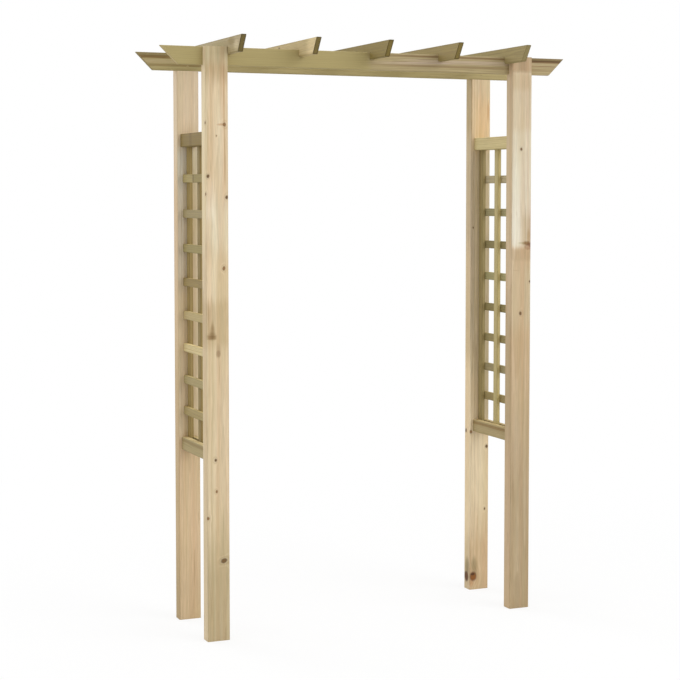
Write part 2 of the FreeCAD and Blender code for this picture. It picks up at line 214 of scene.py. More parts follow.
def softwood_group():
    """Planed pine, as a solid: growth rings round a pith line, fibres, broad bands and drying checks.

    Grain has its first part along the timber and the other two across it, from the pith. The ring count is
    the distance from the pith, bent by slow noise and pushed aside round knots, times the rings in a metre;
    each ring goes from pale early wood to a darker late edge."""
    inputs = ("Grain", "Knot", "Rings", "Wander", "Contrast", "Early", "Late", "Band", "Band Amount")
    g, given, result = new_group("softwood", inputs, SURFACE)
    grain = given["Grain"]
    knot = given["Knot"]
    bent = g.vector("ADD", grain, g.spread(g.sway(grain, 1.3, 9.0, 1.0), given["Wander"]))
    bent = g.vector("ADD", bent, g.spread(g.sway(grain, 11.0, 80.0), FINE_SWAY))
    push = g.math("POWER", EULER_NUMBER, g.times(g.times(knot, knot), -0.3))
    from_pith = g.vector("LENGTH", g.vector("MULTIPLY", bent, (0.0, 1.0, 1.0)))
    count = g.times(g.math("ADD", from_pith, g.times(push, RING_PUSH)), given["Rings"])
    ring = g.math("FRACT", count)
    year = g.node("ShaderNodeTexWhiteNoise", {"W": g.math("FLOOR", count)}, noise_dimensions="1D")
    late = g.times(g.fade(ring, 0.2, 0.9), g.fade(ring, 0.91, 1.0, 1.0, 0.0))
    late = g.times(late, g.fade(year.outputs["Value"], 0.0, 1.0, 0.45, 1.0))
    fibre = g.fibres(bent, 16.0, 850.0)
    band = g.fade(g.fibres(bent, 0.9, 55.0), 0.4, 0.66)
    check = g.fade(g.fibres(bent, 5.0, 330.0, 0.0), 0.75, 0.79)

    colour = g.mix(g.times(late, given["Contrast"]), given["Early"], given["Late"])
    colour = g.mix(g.times(band, given["Band Amount"]), colour, given["Band"])
    colour = g.tinted(colour, g.grey(g.fade(fibre, 0.25, 0.75, 0.86, 1.1)))
    colour = g.mix(g.times(check, 0.45), colour, g.tinted(colour, given["Late"]))
    rough = g.math("SUBTRACT", g.fade(fibre, 0.2, 0.8, 0.62, 0.78), g.times(late, 0.08))
    height = g.math("ADD", g.times(fibre, 0.35), g.times(late, 0.3))
    g.feed(result["Colour"], colour)
    g.feed(result["Roughness"], rough)
    g.feed(result["Height"], g.math("SUBTRACT", height, g.times(check, 0.8)))
    return g.tree


def knotted_group():
    """The look of knots on planed wood: a dark ringed heart, a darker rim and a stained border round it."""
    g, given, result = new_group("knotted", (*SURFACE, "Knot", "Heart"), SURFACE)
    knot = given["Knot"]
    wood = given["Colour"]
    brown = given["Heart"]
    core = g.fade(knot, 0.7, 1.05, 1.0, 0.0)
    rim = g.times(g.fade(knot, 0.62, 0.92), g.fade(knot, 0.98, 1.3, 1.0, 0.0))
    inner = g.fade(g.math("FRACT", g.times(knot, 3.2)), 0.1, 0.95, 0.0, 0.5)
    heart = g.mix(inner, brown, g.tinted(brown, wood))
    colour = g.mix(g.fade(knot, 0.9, 2.8, 0.34, 0.0), wood, g.mix(0.5, wood, brown))
    colour = g.mix(core, colour, heart)
    colour = g.mix(g.times(rim, 0.5), colour, g.tinted(heart, brown))
    g.feed(result["Colour"], colour)
    g.feed(result["Roughness"], g.math("SUBTRACT", given["Roughness"], g.times(core, 0.12)))
    g.feed(result["Height"], g.math("ADD", given["Height"], g.times(core, 0.5)))
    return g.tree


def treatment_group():
    """The olive stain of pressure treatment, in long soft clouds along the grain.

    It soaks in deeper from two sides, so the arrises are darker; this darkening is partly stain and partly
    painted shade along the edges. On a face one of the three depths below the timber's faces is nought and
    the next one is the distance to the nearest arris."""
    inputs = ("Colour", "Grain", "Stain", "Amount", "Arris", "Middle", "Half")
    g, given, result = new_group("treatment", inputs, ("Colour",))
    cloud = g.fibres(given["Grain"], 2.6, 22.0, 3.0)
    amount = g.times(g.fade(cloud, 0.3, 0.72), given["Amount"])
    colour = g.mix(amount, given["Colour"], given["Stain"])
    depth = depths(g, given)
    least, most = (g.math(pick, depth["X"], depth["Y"]) for pick in ("MINIMUM", "MAXIMUM"))
    from_arris = g.math("MAXIMUM", least, g.math("MINIMUM", most, depth["Z"]))
    # Darker arrises: partly the stain soaking in deeper, partly painted shade along the edges.
    stain_and_shade_at_arris = g.fade(g.math("ADD", from_arris, g.times(cloud, 0.003)), *STAIN_AND_SHADE_DEPTHS, 1.0, 0.0)
    stain_and_shade_tone = g.tinted(colour, ARRIS_SHADE)
    g.feed(result["Colour"], g.mix(g.times(stain_and_shade_at_arris, given["Arris"]), colour, stain_and_shade_tone))
    return g.tree


def patch_group():
    """A patch of timber with a tone of its own: pale sapwood, a resin line, stained wood, painted shade and
    light.

    The patch is a box round Middle that reaches Reach to each side, or an oval where it is Round. Its
    border is soft and ragged along the grain. It tints the wood, so that the grain still shows, or covers
    it with its tone where it is Plain. It lies on the faces that look towards Facing, or on every side."""
    inputs = ("Colour", "Grain", "Place", "Middle", "Reach", "Soft", "Tint", "Tone", "Plain", "Round",
              "Amount", "Facing", "Every Side")
    g, given, result = new_group("patch", inputs, ("Colour",))
    ragged = g.spread(g.sway(given["Grain"], 5.0, 110.0), g.times(given["Soft"], 1.6))
    away = g.vector("DIVIDE", g.vector("SUBTRACT", given["Place"], given["Middle"]), given["Reach"])
    away = g.vector("ABSOLUTE", g.vector("ADD", away, ragged))
    side = g.parts(away)
    square = g.math("MAXIMUM", g.math("MAXIMUM", side["X"], side["Y"]), side["Z"])
    oval = g.times(g.math("SUBTRACT", g.vector("LENGTH", away), square), given["Round"])
    inner, outer = (g.math(step, 1.0, given["Soft"]) for step in ("SUBTRACT", "ADD"))
    inside = g.fade(g.math("ADD", square, oval), inner, outer, 1.0, 0.0)
    facing = g.fade(g.vector("DOT_PRODUCT", g.normal(), given["Facing"]), 0.45, 0.85)
    amount = g.times(given["Amount"], g.math("MAXIMUM", facing, given["Every Side"]))
    own = g.mix(given["Plain"], g.tinted(given["Colour"], given["Tint"]), given["Tone"])
    g.feed(result["Colour"], g.mix(g.times(amount, inside), given["Colour"], own))
    return g.tree


def sawn_end_group():
    """Sawn end grain: a darker, rougher face wherever a timber is cut across its fibres, with saw lines.

    The stain goes deeper in along the faces, so each end has a dark rim a few millimetres wide. The rim is
    found from the depth below the nearest face."""
    inputs = (*SURFACE, "Grain", "Axis", "End", "Rim", "Middle", "Half")
    g, given, result = new_group("sawn_end", inputs, SURFACE)
    facing = g.math("ABSOLUTE", g.vector("DOT_PRODUCT", g.normal(), given["Axis"]))
    end = g.fade(facing, 0.5, 0.66)
    lines = g.noise(given["Grain"], SAW_LINES)[0]
    speck = g.fibres(given["Grain"], 1500.0, 1500.0, 1.0)
    shade = g.grey(g.fade(g.math("ADD", lines, g.times(speck, 0.5)), 0.45, 1.1, 0.7, 1.15))
    below = depths(g, given)
    depth = g.math("ADD", g.math("MINIMUM", below["Y"], below["Z"]), g.times(speck, 0.0025))
    sawn = g.mix(g.fade(depth, *STAIN_AND_SHADE_DEPTHS, 1.0, 0.0), given["End"], given["Rim"])
    cut = g.tinted(g.mix(0.8, given["Colour"], sawn), shade)
    g.feed(result["Colour"], g.mix(end, given["Colour"], cut))
    g.feed(result["Roughness"], g.math("ADD", given["Roughness"], g.times(end, 0.15)))
    g.feed(result["Height"], g.math("ADD", given["Height"], g.times(end, g.times(lines, 1.5))))
    return g.tree


KNOT = knot_group()
SCATTERED_KNOTS = scattered_knots_group()
SOFTWOOD = softwood_group()
KNOTTED = knotted_group()
TREATMENT = treatment_group()
PATCH = patch_group()
SAWN_END = sawn_end_group()


# Timber finishes

AXES = {"X": Vector((1, 0, 0)), "Y": Vector((0, 1, 0)), "Z": Vector((0, 0, 1))}
# Turns that bring an axis of the object to the first place, along the grain, and keep the others' order.
GRAIN_TURNS = {"X": Matrix(((1, 0, 0), (0, 1, 0), (0, 0, 1))),
               "Y": Matrix(((0, 1, 0), (0, 0, 1), (1, 0, 0))),
               "Z": Matrix(((0, 0, 1), (1, 0, 0), (0, 1, 0)))}
NO_FACING = (0.0, 0.0, 0.0)
TO_FRONT = (0.0, -1.0, 0.0)
TO_LEFT = (-1.0, 0.0, 0.0)
UPWARD = (0.0, 0.0, 1.0)
WIDE = 1.0                            # a patch's reach that takes in the whole of a timber's section
KNOT_BROWN = tone(112, 86, 54)
SOFT_BROWN = tone(152, 118, 78)
STAIN_AMOUNT = 0.3
# Shares of a timber's middle tone, or of its end's tone.
EARLY_WOOD = (1.04, 1.045, 1.06)
LATE_WOOD = (0.87, 0.83, 0.76)
GREENISH = (0.95, 0.93, 0.89)
PINKISH = (0.985, 0.935, 0.9)
STAINED = (0.94, 0.95, 0.84)
DARK_RIM = (0.66, 0.62, 0.5)
FAINT_RIM = (0.9, 0.88, 0.85)


def shaded(middle_tone, shares):
    """The colour of a tone, each part of it taken to a share."""
    return tone(*(value * share for value, share in zip(middle_tone, shares)))


def patch(middle, reach, own, amount, soft=0.3, facing=None, plain=0.0, oval=0.0):
    """The values of a patch; without a facing it lies on every side."""
    return {"Middle": middle, "Reach": reach, "Tone": tone(*own), "Amount": amount, "Soft": soft,
            "Plain": plain, "Round": oval, "Facing": facing or NO_FACING,
            "Every Side": 0.0 if facing else 1.0}


def tint(own, middle_tone):
    """The colour that turns a timber's middle tone into another colour, as a factor."""
    return (*(part / whole for part, whole in zip(own[:3], tone(*middle_tone)[:3])), 1.0)


def new_finish(name):
    """A material in the making: itself, its graph and its surface shader."""
    material = bpy.data.materials.new(name)
    material.use_nodes = True
    return material, Graph(material.node_tree), material.node_tree.nodes["Principled BSDF"]


def finish_node(node, material):
    """Puts a finish on a frame node."""
    mesh = NODES[node].data
    mesh.materials.clear()
    mesh.materials.append(material)


def timber_finish(node, axis, middle_tone, pith, start, end, rings=230.0, wander=0.012, contrast=0.7,
                  band=GREENISH, band_amount=0.5, knots=(), scatter=(0.3, 0.004, 0.2), patches=(),
                  heart=KNOT_BROWN, rim=DARK_RIM, arris=0.35):
    """The finish of one timber, with its grain along an axis of the object.

    pith is where the pith runs, from the middle of the timber's section, across the grain in axis order.
    start slides the pattern along the grain, so that no two timbers are alike. end is the tone of the
    sawn ends. Each knot is its place on the timber, the way its branch points, both in the object's own
    axes, its radius and, where it differs from the other knots, the colour of its heart. scatter is the
    spacing of the random knots, their radius and the share of places that have one."""
    material, g, surface = new_finish(node)
    low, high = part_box(node)
    turn = GRAIN_TURNS[axis]
    middle = turn @ ((low + high) / 2)
    shift = Vector((start, -middle.y - pith[0], -middle.z - pith[1]))
    section = {"Middle": Vector((middle.x + start, -pith[0], -pith[1])), "Half": turn @ ((high - low) / 2)}

    place = g.node("ShaderNodeTexCoord").outputs["Object"]
    mapping = {"Vector": place, "Location": shift, "Rotation": turn.to_euler()}
    grain = g.node("ShaderNodeMapping", mapping).outputs[0]
    by_heart = {heart: g.place(SCATTERED_KNOTS, {
        "Grain": grain, "Spacing": scatter[0], "Radius": scatter[1], "Share": scatter[2]})[0]}
    for point, branch, radius, own_heart in knots:
        brown = own_heart or heart
        by_heart[brown] = g.place(KNOT, {
            "Grain": grain, "Nearest": by_heart.get(brown, FAR_OFF), "Place": turn @ Vector(point) + shift,
            "Branch": (turn @ Vector(branch)).normalized(), "Radius": radius})[0]
    nearest, *others = by_heart.values()
    for other in others:
        nearest = g.math("MINIMUM", nearest, other)

    colour, rough, height = g.place(SOFTWOOD, {
        "Grain": grain, "Knot": nearest, "Rings": rings, "Wander": wander, "Contrast": contrast,
        "Early": shaded(middle_tone, EARLY_WOOD), "Late": shaded(middle_tone, LATE_WOOD),
        "Band": shaded(middle_tone, band), "Band Amount": band_amount})
    colour = g.place(TREATMENT, {
        "Colour": colour, "Grain": grain, "Stain": shaded(middle_tone, STAINED), "Amount": STAIN_AMOUNT,
        "Arris": arris, **section})[0]
    for values in patches:
        colour = g.place(PATCH, {"Colour": colour, "Grain": grain, "Place": place,
                                 "Tint": tint(values["Tone"], middle_tone), **values})[0]
    for brown, found in by_heart.items():
        colour, rough, height = g.place(KNOTTED, {
            "Colour": colour, "Roughness": rough, "Height": height, "Knot": found, "Heart": brown})
    cut = g.place(SAWN_END, {
        "Colour": colour, "Roughness": rough, "Height": height, "Grain": grain, "Axis": AXES[axis],
        "End": tone(*end), "Rim": shaded(end, rim), **section})
    relief = {"Strength": 0.35, "Distance": 0.0004, "Height": cut["Height"]}
    g.feed(surface.inputs["Base Color"], cut["Colour"])
    g.feed(surface.inputs["Roughness"], cut["Roughness"])
    g.feed(surface.inputs["Normal"], g.node("ShaderNodeBump", relief).outputs[0])
    surface.inputs["Specular IOR Level"].default_value = 0.3
    finish_node(node, material)


def metal_finish(name, colour, dull, roughness, metallic):
    """Plated or coated steel with cloudy dulling."""
    material, g, surface = new_finish(name)
    cloud = g.fibres(g.node("ShaderNodeTexCoord").outputs["Object"], 900.0, 900.0, 3.0)
    g.feed(surface.inputs["Base Color"], g.mix(g.fade(cloud, 0.35, 0.7), colour, dull))
    g.feed(surface.inputs["Roughness"], g.fade(cloud, 0.3, 0.7, roughness, roughness + 0.2))
    surface.inputs["Metallic"].default_value = metallic
    return material


# Posts

LEFT_X = -0.568                       # the posts' middle lines
RIGHT_X = 0.568
FRONT_Y = -0.1785                     # the front faces of the front posts and of the back posts
BACK_Y = 0.1335
HALF_POST = 0.039
OUTER_WOOD = 0.02
POST_END = (182, 160, 118)


class Post:
    """One post. Its marks are placed from its middle line, its front face and the ground."""

    def __init__(self, x, front):
        self.x = x
        self.front = front

    def finish(self, node, middle_tone, pith, start, scatter, **values):
        """The finish of the post: pinkish bands and darker arrises, partly faint stain, partly painted
        shade.
        """
        timber_finish(node, "Z", middle_tone, pith, start, POST_END, scatter=scatter, band=PINKISH,
                      arris=0.12, **values)

    def front_band(self, up, half_height, own, amount, soft):
        """A patch across the whole front."""
        reach = (WIDE, WIDE, half_height)
        return patch((self.x, self.front, up), reach, own, amount, soft, TO_FRONT)

    def left_band(self, up, half_height, own, amount, soft):
        """A patch across the whole left side."""
        reach = (WIDE, WIDE, half_height)
        return patch((self.x, self.front, up), reach, own, amount, soft, TO_LEFT)

    def strip(self, across, up, half_width, half_height, own, amount, soft, facing=None, depth=OUTER_WOOD):
        """A patch with straight sides at the front."""
        reach = (half_width, depth, half_height)
        return patch((self.x + across, self.front, up), reach, own, amount, soft, facing)

    def streak(self, across, up, half_width, half_height, own, amount, soft=0.6):
        """A resin streak along the grain, in the outermost wood of the front."""
        reach = (half_width, OUTER_WOOD, half_height)
        return patch((self.x + across, self.front, up), reach, own, amount, soft, oval=1.0)

    def knot(self, across, up, radius, lean=0.0, heart=None, rise=0.0):
        """A knot at the front."""
        return (self.x + across, self.front, up), (lean, -1.0, rise), radius, heart

    def left_knot(self, back, up, radius, lean, heart=None):
        """A knot on the left side, so far back from the front."""
        return (self.x - HALF_POST, self.front + back, up), (-1.0, lean, 0.0), radius, heart


post = Post(LEFT_X, FRONT_Y)
post.finish("post_front_left", (219, 199, 164), (0.012, 0.085), 0.2, (0.5, 0.003, 0.1),
            band_amount=0.7, wander=0.007, contrast=0.55,
            knots=(post.knot(0.026, 1.715, 0.0042, 0.3, SOFT_BROWN),
                   post.knot(-0.002, 1.678, 0.0016, 0.0, SOFT_BROWN),
                   post.knot(-0.032, 1.546, 0.004, -0.5),
                   post.knot(0.033, 1.477, 0.004, 0.5),
                   post.knot(0.022, 1.243, 0.0045, 0.3, SOFT_BROWN),
                   post.knot(-0.009, 0.608, 0.0036),
                   post.knot(-0.006, 0.503, 0.0034, 0.0, SOFT_BROWN),
                   post.knot(-0.037, 0.415, 0.0036, -1.0, SOFT_BROWN),
                   post.knot(0.0185, 0.269, 0.0056, -1.5, tone(126, 98, 62), -0.35),
                   post.left_knot(0.006, 1.72, 0.0035, -0.6, SOFT_BROWN),
                   post.left_knot(0.004, 1.487, 0.0035, -0.6, SOFT_BROWN)),
            patches=(post.front_band(0.0, 0.34, (190, 173, 137), 0.9, 0.5),
                     post.front_band(1.99, 0.13, (194, 171, 133), 0.9, 0.3),
                     post.front_band(1.99, 0.075, (227, 216, 182), 0.9, 0.3),
                     post.front_band(1.38, 0.08, (226, 212, 182), 0.9, 0.6),
                     post.left_band(1.62, 0.3, (234, 217, 180), 0.9, 0.4),
                     post.strip(-0.026, 1.47, 0.014, 0.06, (230, 213, 183), 0.9, 0.6, TO_FRONT),
                     post.strip(-0.028, 1.2, 0.017, 0.065, (233, 216, 183), 0.9, 0.6, TO_FRONT),
                     post.streak(0.014, 1.62, 0.01, 0.15, (228, 215, 184), 0.9),
                     post.streak(0.0245, 1.82, 0.0022, 0.1, (180, 140, 96), 0.6),
                     post.streak(0.025, 1.61, 0.006, 0.12, (217, 192, 154), 0.6),
                     post.streak(0.0265, 1.62, 0.0024, 0.1, (176, 146, 106), 0.6),
                     post.streak(0.014, 1.715, 0.012, 0.0035, (192, 154, 114), 0.7),
                     post.strip(-0.01, 1.06, 0.05, 0.075, (200, 178, 140), 0.7, 0.3, depth=0.05),
                     post.strip(-0.02, 1.0155, 0.0155, 0.0065, (180, 155, 116), 0.7, 0.3),
                     post.streak(-0.02, 1.02, 0.0135, 0.013, (180, 155, 116), 0.8, 0.5),
                     post.streak(-0.0185, 1.034, 0.0085, 0.022, (184, 159, 120), 0.75, 0.5),
                     post.streak(-0.018, 1.052, 0.0045, 0.018, (192, 168, 128), 0.6),
                     post.streak(0.002, 0.961, 0.0075, 0.011, (186, 163, 129), 0.8, 0.4),
                     post.streak(0.002, 0.969, 0.0075, 0.022, (194, 172, 138), 0.8, 0.5)))

post = Post(LEFT_X, BACK_Y)
post.finish("post_back_left", (215, 190, 154), (-0.09, 0.02), 3.1, (0.6, 0.003, 0.15),
            patches=(post.front_band(0.0, 0.2, (200, 176, 139), 0.7, 0.6),
                     post.strip(0.0, 1.85, WIDE, 0.3, (225, 206, 177), 0.85, 0.4, depth=WIDE),
                     post.left_band(0.4, 0.5, (201, 176, 137), 0.9, 0.2),
                     post.left_band(0.0, 0.2, (198, 175, 140), 0.9, 0.5),
                     # Painted light: the front between the rails is paler and greyer, lifted against the
                     # trellis's shade.
                     post.front_band(1.147, 0.5, (220, 203, 171), 0.9, 0.05),
                     # Painted shade: left of the uprights in the upper part, and in a strip beside the back
                     # upright, the front is darker, as in the trellis's shade.
                     post.strip(-0.03, 1.42, 0.028, 0.24, (208, 190, 164), 0.8, 0.2, TO_FRONT),
                     post.strip(0.012, 1.2, 0.016, 0.46, (202, 177, 138), 0.8, 0.2, TO_FRONT)))

post = Post(RIGHT_X, BACK_Y)
post.finish("post_back_right", (216, 195, 159), (0.02, 0.08), 6.4, (0.6, 0.003, 0.12), contrast=0.5,
            knots=(post.knot(-0.03, 1.362, 0.0022, -0.3),
                   post.knot(-0.0365, 0.598, 0.0042, -1.0, SOFT_BROWN),
                   post.knot(0.03, 0.54, 0.0044, 0.3),
                   post.knot(0.023, 0.304, 0.003, 0.2),
                   post.knot(-0.0238, 0.05, 0.0118, -0.5, tone(148, 94, 42)),
                   post.left_knot(0.026, 0.047, 0.013, -0.5, tone(104, 66, 28)),
                   post.knot(-0.0255, 0.0585, 0.0032, -2.0, tone(98, 62, 26)),
                   post.left_knot(0.034, 0.6, 0.0045, -0.5)),
            patches=(post.front_band(0.0, 0.2, (203, 177, 138), 0.8, 0.25),
                     post.front_band(0.5, 0.2, (230, 212, 178), 0.8, 0.4),
                     post.left_band(0.53, 0.33, (238, 217, 181), 0.9, 0.15),
                     post.left_band(1.95, 0.24, (186, 166, 127), 0.9, 0.2),
                     post.left_band(1.5, 0.21, (202, 183, 151), 0.9, 0.2),
                     # Painted shade: between the rails the front-left arris, and the strip of the front
                     # right of the back upright, are darker, as in the trellis's shade.
                     post.strip(-0.036, 1.3, 0.012, 0.36, (194, 175, 145), 0.9, 0.3, depth=0.006),
                     post.strip(0.031, 1.0, 0.012, 0.36, (190, 175, 142), 0.9, 0.1, depth=0.006),
                     post.strip(0.031, 1.5, 0.012, 0.14, (204, 190, 156), 0.9, 0.1, depth=0.006),
                     # Painted highlight: a pale orange line by the front-left arris, beside the foot knot.
                     post.streak(-0.03, 0.028, 0.007, 0.018, (212, 172, 128), 0.7),
                     post.streak(-0.0185, 0.091, 0.011, 0.03, (164, 148, 110), 0.8),
                     patch((RIGHT_X - HALF_POST, BACK_Y + 0.02, 0.088), (0.01, 0.015, 0.028),
                           (150, 135, 100), 0.8, 0.6, oval=1.0),
                     post.strip(0.01, 1.77, 0.035, 0.07, (226, 194, 148), 0.6, 0.6, depth=WIDE),
                     post.streak(0.03, 1.79, 0.004, 0.035, (192, 148, 104), 0.6),
                     # Painted shade: the front left of the back upright is darker and greyer between the
                     # rails, as in the trellis's shade.
                     post.strip(-0.03, 1.21, 0.028, 0.42, (206, 189, 157), 0.8, 0.1, TO_FRONT)))

post = Post(RIGHT_X, FRONT_Y)
post.finish("post_front_right", (201, 175, 140), (-0.015, 0.095), 9.7, (0.6, 0.003, 0.12),
            band_amount=0.7, heart=tone(124, 94, 62),
            knots=(post.knot(-0.002, 1.646, 0.0038),
                   post.knot(0.0355, 1.176, 0.0028, 0.6),
                   post.knot(-0.002, 1.063, 0.0048)),
            patches=(post.front_band(0.0, 0.7, (176, 157, 124), 0.8, 0.6),
                     post.front_band(1.608, 0.31, (211, 195, 167), 0.95, 0.03),
                     post.front_band(1.505, 0.205, (208, 186, 154), 0.9, 0.1),
                     post.front_band(1.885, 0.03, (194, 165, 127), 0.9, 0.5),
                     post.front_band(1.945, 0.03, (188, 163, 130), 0.9, 0.1),
                     post.strip(0.0, 1.94, 0.016, 0.02, (184, 161, 127), 0.9, 0.4),
                     post.left_band(1.64, 0.44, (209, 188, 155), 0.95, 0.3),
                     post.left_band(0.85, 0.25, (189, 167, 132), 0.9, 0.3),
                     post.strip(-0.02, 1.13, 0.024, 0.12, (208, 187, 155), 0.9, 0.4),
                     post.strip(0.029, 1.13, 0.016, 0.11, (204, 186, 154), 0.9, 0.4),
                     post.strip(-0.026, 1.45, 0.024, 0.16, (213, 190, 158), 0.9, 0.5, TO_FRONT),
                     post.strip(0.026, 1.36, 0.018, 0.05, (186, 157, 119), 0.9, 0.6),
                     post.front_band(1.272, 0.02, (191, 166, 132), 0.9, 0.4),
                     post.streak(0.036, 1.38, 0.006, 0.09, (184, 146, 112), 0.6),
                     post.streak(0.0295, 1.333, 0.006, 0.028, (184, 152, 112), 0.9, 0.5),
                     post.streak(0.028, 1.3, 0.0145, 0.0105, (168, 131, 98), 0.85, 0.4),
                     post.streak(0.002, 1.3135, 0.014, 0.0035, (177, 154, 112), 0.7),
                     post.streak(0.0215, 1.313, 0.0135, 0.0068, (138, 100, 58), 0.9),
                     post.streak(0.035, 1.3075, 0.009, 0.007, (164, 127, 92), 0.9, 0.5),
                     post.streak(-0.021, 1.2164, 0.012, 0.0015, (184, 156, 124), 0.6, 0.4)))


# Beams

BEAM_FRONT_Y = -0.1515                # the front faces of the two beams
BEAM_BACK_Y = 0.1335
GREEN_END = (158, 142, 96)
BROWN_LINE = (122, 96, 56)
PALE_LINE = (190, 172, 140)
BEAM_SCATTER = (0.5, 0.004, 0.0)


def beam_line(y, x, z, half_length, half_height, own, amount):
    """A long resin or sapwood line on a beam."""
    return patch((x, y, z), (half_length, WIDE, half_height), own, amount, 0.5)


def top_edge(y, x, z, half_length, half_height, own, amount):
    """A dark strip along the upper arris of a beam's front."""
    return patch((x, y, z), (half_length, 0.006, half_height), own, amount, 0.2)


# The front beam's sawn ends take a pale tone, (208, 190, 140), as painted light, so that its shaded slanted
# end at the tip shows no dark line.
timber_finish("beam_front", "X", (173, 157, 109), (0.035, -0.05), 0.7, (208, 190, 140), wander=0.016,
              contrast=1.0, scatter=BEAM_SCATTER, rim=FAINT_RIM, arris=0.15,
              patches=(patch((-0.38, BEAM_FRONT_Y, 1.94), (0.37, WIDE, 0.1), (173, 158, 107), 0.65, 0.04,
                             plain=1.0),
                       patch((0.38, BEAM_FRONT_Y, 1.94), (0.39, WIDE, 0.1), (180, 162, 128), 0.6, 0.04),
                       beam_line(BEAM_FRONT_Y, 0.69, 1.957, 0.09, 0.004, BROWN_LINE, 0.95),
                       beam_line(BEAM_FRONT_Y, 0.67, 1.941, 0.07, 0.002, (142, 118, 76), 0.6),
                       beam_line(BEAM_FRONT_Y, 0.66, 1.926, 0.06, 0.002, (146, 124, 82), 0.5),
                       top_edge(BEAM_FRONT_Y, 0.7, 1.968, 0.1, 0.011, (126, 108, 66), 0.85),
                       beam_line(BEAM_FRONT_Y, 0.3, 1.929, 0.25, 0.0035, BROWN_LINE, 0.45),
                       beam_line(BEAM_FRONT_Y, 0.36, 1.945, 0.2, 0.006, PALE_LINE, 0.6),
                       beam_line(BEAM_FRONT_Y, 0.34, 1.962, 0.29, 0.0035, BROWN_LINE, 0.7),
                       beam_line(BEAM_FRONT_Y, 0.14, 1.937, 0.12, 0.005, PALE_LINE, 0.5)))
timber_finish("beam_back", "X", (177, 162, 115), (0.03, 0.06), 4.9, GREEN_END, wander=0.014,
              contrast=0.9, scatter=BEAM_SCATTER, rim=FAINT_RIM, arris=0.25,
              patches=(beam_line(BEAM_BACK_Y, -0.69, 1.955, 0.08, 0.005, (120, 92, 46), 0.85),
                       top_edge(BEAM_BACK_Y, -0.7, 1.967, 0.08, 0.009, (134, 118, 78), 0.8),
                       beam_line(BEAM_BACK_Y, -0.6, 1.928, 0.14, 0.0035, BROWN_LINE, 0.5),
                       beam_line(BEAM_BACK_Y, -0.64, 1.94, 0.1, 0.006, PALE_LINE, 0.5)))


# Rafters

DARKEST_END = (102, 85, 18)
DARK_END = (130, 112, 55)
PALE_END = (154, 139, 94)
RAFTER_RINGS = 260.0
RAFTER_SCATTER = (0.22, 0.003, 0.3)
FIRST_RAFTER_LEFT = -0.529            # the left sides of the first two rafters
SECOND_RAFTER_LEFT = -0.269


def first_rafter_cloud(y, z, half_length, half_height, own, amount):
    """A small cloud on the left side of the first rafter."""
    reach = (0.02, half_length, half_height)
    return patch((FIRST_RAFTER_LEFT, y, z), reach, own, amount, 0.6, TO_LEFT, oval=1.0)


FIRST_RAFTER_MARKS = (first_rafter_cloud(-0.21, 1.984, 0.03, 0.012, (146, 126, 74), 0.7),
                      first_rafter_cloud(-0.262, 1.968, 0.024, 0.014, (210, 194, 156), 0.8),
                      first_rafter_cloud(-0.09, 1.98, 0.07, 0.012, (166, 152, 106), 0.7))
SECOND_RAFTER_KNOT = ((SECOND_RAFTER_LEFT, 0.035, 1.988), TO_LEFT, 0.004, None)
SECOND_RAFTER_MARK = patch((-0.26, -0.3, 1.973), (0.1, 0.07, 0.1), (228, 208, 160), 0.9, 0.4, TO_LEFT)
# Each rafter's middle tone, the tone of its ends, its own knots and its patches.
RAFTERS = (((178, 162, 124), DARKEST_END, (), FIRST_RAFTER_MARKS),
           ((197, 178, 131), DARKEST_END, (SECOND_RAFTER_KNOT,), (SECOND_RAFTER_MARK,)),
           ((144, 127, 75), DARK_END, (), ()),
           ((156, 138, 89), DARK_END, (), ()),
           ((158, 142, 96), PALE_END, (), ()))
for order, (middle_tone, end, knots, patches) in enumerate(RAFTERS):
    rim = FAINT_RIM if end == PALE_END else DARK_RIM
    timber_finish(f"rafter_{order + 1}", "Y", middle_tone, (-0.04 + 0.01 * order, 0.03), 1.3 * order + 0.4,
                  end, rings=RAFTER_RINGS, scatter=RAFTER_SCATTER, rim=rim, arris=0.5, knots=knots,
                  patches=patches)


# Trellis panels

SLAT_RINGS = 300.0
WHOLE_ARCH = (5.0, 5.0, 5.0)          # a patch's reach that takes in every timber
# Painted light: the upper sides of rails and cross slats, and the front sides of the middle uprights, are
# made paler, as if lit more strongly from above and from the front.
PAINTED_TOP_LIGHT = 1.2                        # how much paler the upper sides are, and the front edges
PAINTED_FRONT_LIGHT = 1.1
RAIL_TONES = {"left": {"top_rail": (140, 119, 69), "bottom_rail": (175, 158, 116)},
              "right": {"top_rail": (210, 193, 144), "bottom_rail": (174, 156, 113)}}
# The right middle upright's tone is lifted as painted light, against the shade of the front post and the
# front upright.
UPRIGHT_TONES = {
    "left": {"front": (164, 146, 98), "middle": (148, 129, 84), "back": (164, 142, 92)},
    "right": {"front": (170, 154, 108), "middle": (192, 177, 127), "back": (160, 143, 98)}}
# The cross slats from the top down.
# The first left tone is lifted as painted light, against the shade of the back post; its marks take its
# front part down again.
CROSS_TONES = {
    "left": ((174, 158, 106), (164, 149, 108), (160, 146, 97), (153, 133, 84),
             (189, 170, 123), (214, 195, 147), (170, 154, 109), (169, 151, 102)),
    "right": ((188, 174, 143), (160, 150, 112), (142, 129, 88), (167, 159, 115),
              (142, 129, 84), (152, 138, 94), (158, 145, 109), (156, 139, 94))}


def painted_light_side(middle_tone, lift, facing):
    """A patch of painted light: one side of a timber made paler, as if lit more strongly."""
    own = [value * lift for value in middle_tone]
    return patch(ARCH_MIDDLE, WHOLE_ARCH, own, 0.9, 0.3, facing)


def rail_line(x, own):
    """A dark line along the upper part of a bottom rail."""
    return patch((x, 0.0, 0.6355), (WIDE, WIDE, 0.0055), own, 0.75, 0.4)


